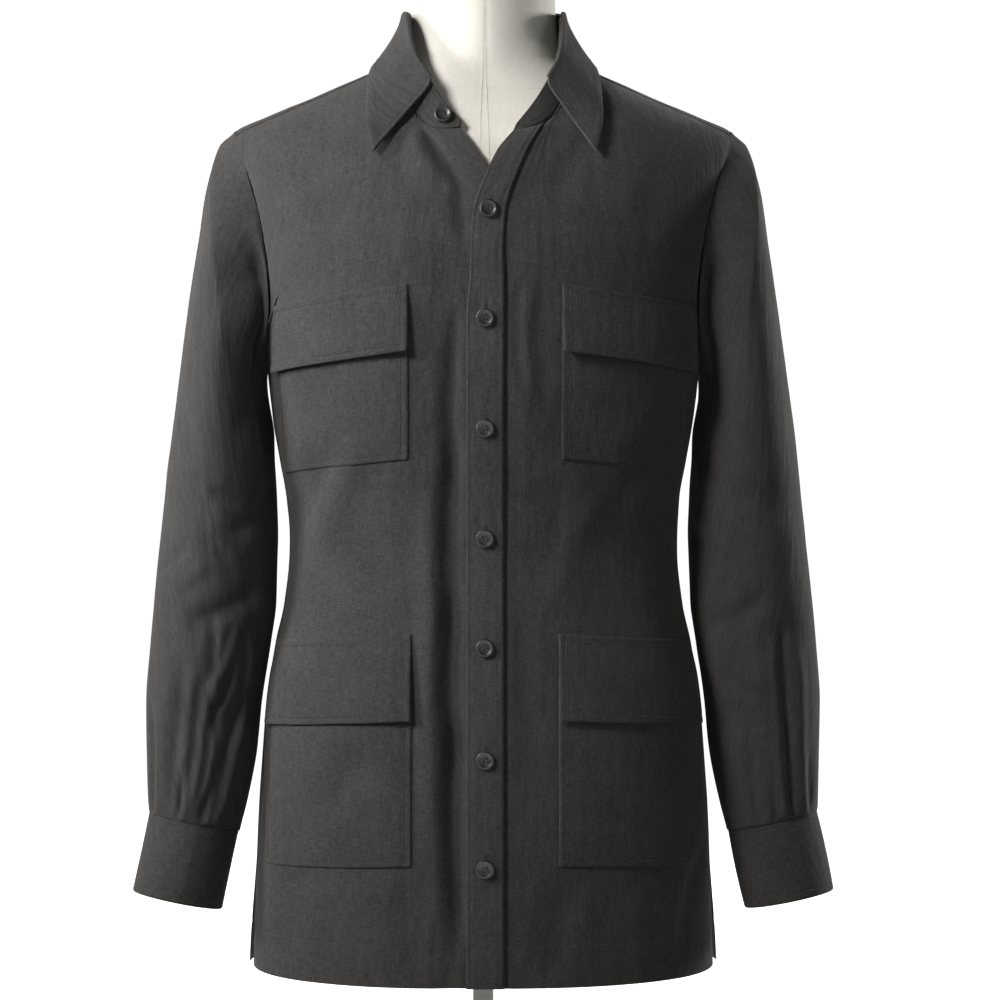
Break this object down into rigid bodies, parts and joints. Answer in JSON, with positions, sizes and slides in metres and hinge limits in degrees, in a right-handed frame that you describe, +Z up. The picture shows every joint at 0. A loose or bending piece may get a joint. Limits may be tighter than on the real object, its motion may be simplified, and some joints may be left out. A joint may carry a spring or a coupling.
{
  "type": "linen button-down overshirt on a limbless dress form",
  "caption": "Long-sleeved linen overshirt with flap patch pockets, a forward yoke and an open collar, worn by a linen-covered dress form on a pole and round base.",
  "frame": {"origin": "on the floor under the middle of the round base", "axes": "+Z up, the shirt's front faces -Y, +X is the wearer's left"},
  "size_m": [0.6032, 0.336, 1.012],
  "materials": {
    "shirt_linen": "charcoal slubbed plain-weave linen, washed, dry and matt",
    "buttons": "dark horn-like resin, turned and tumbled to a low gloss",
    "form_linen": "cream linen stretched over the form",
    "stand_lacquer": "off-white satin lacquer on steel"
  },
  "bodies": {
    "root": {"front_left": "shirt_linen", "front_right": "shirt_linen", "front_placket": "shirt_linen", "back": "shirt_linen", "yoke": "shirt_linen", "collar_stand": "shirt_linen", "collar_leaf": "shirt_linen", "sleeve_left": "shirt_linen", "sleeve_right": "shirt_linen", "sleeve_placket_left": "shirt_linen", "sleeve_placket_right": "shirt_linen", "cuff_left": "shirt_linen", "cuff_right": "shirt_linen", "chest_pocket_left": "shirt_linen", "chest_pocket_right": "shirt_linen", "chest_flap_left": "shirt_linen", "chest_flap_right": "shirt_linen", "hip_pocket_left": "shirt_linen", "hip_pocket_right": "shirt_linen", "hip_flap_left": "shirt_linen", "hip_flap_right": "shirt_linen", "button_1": "buttons", "button_2": "buttons", "button_3": "buttons", "button_4": "buttons", "button_5": "buttons", "button_6": "buttons", "button_7": "buttons", "collar_button": "buttons", "cuff_button_left": "buttons", "cuff_button_right": "buttons", "dress_form": "form_linen", "stand_pole": "stand_lacquer", "stand_base": "stand_lacquer"}
  },
  "joints": []
}
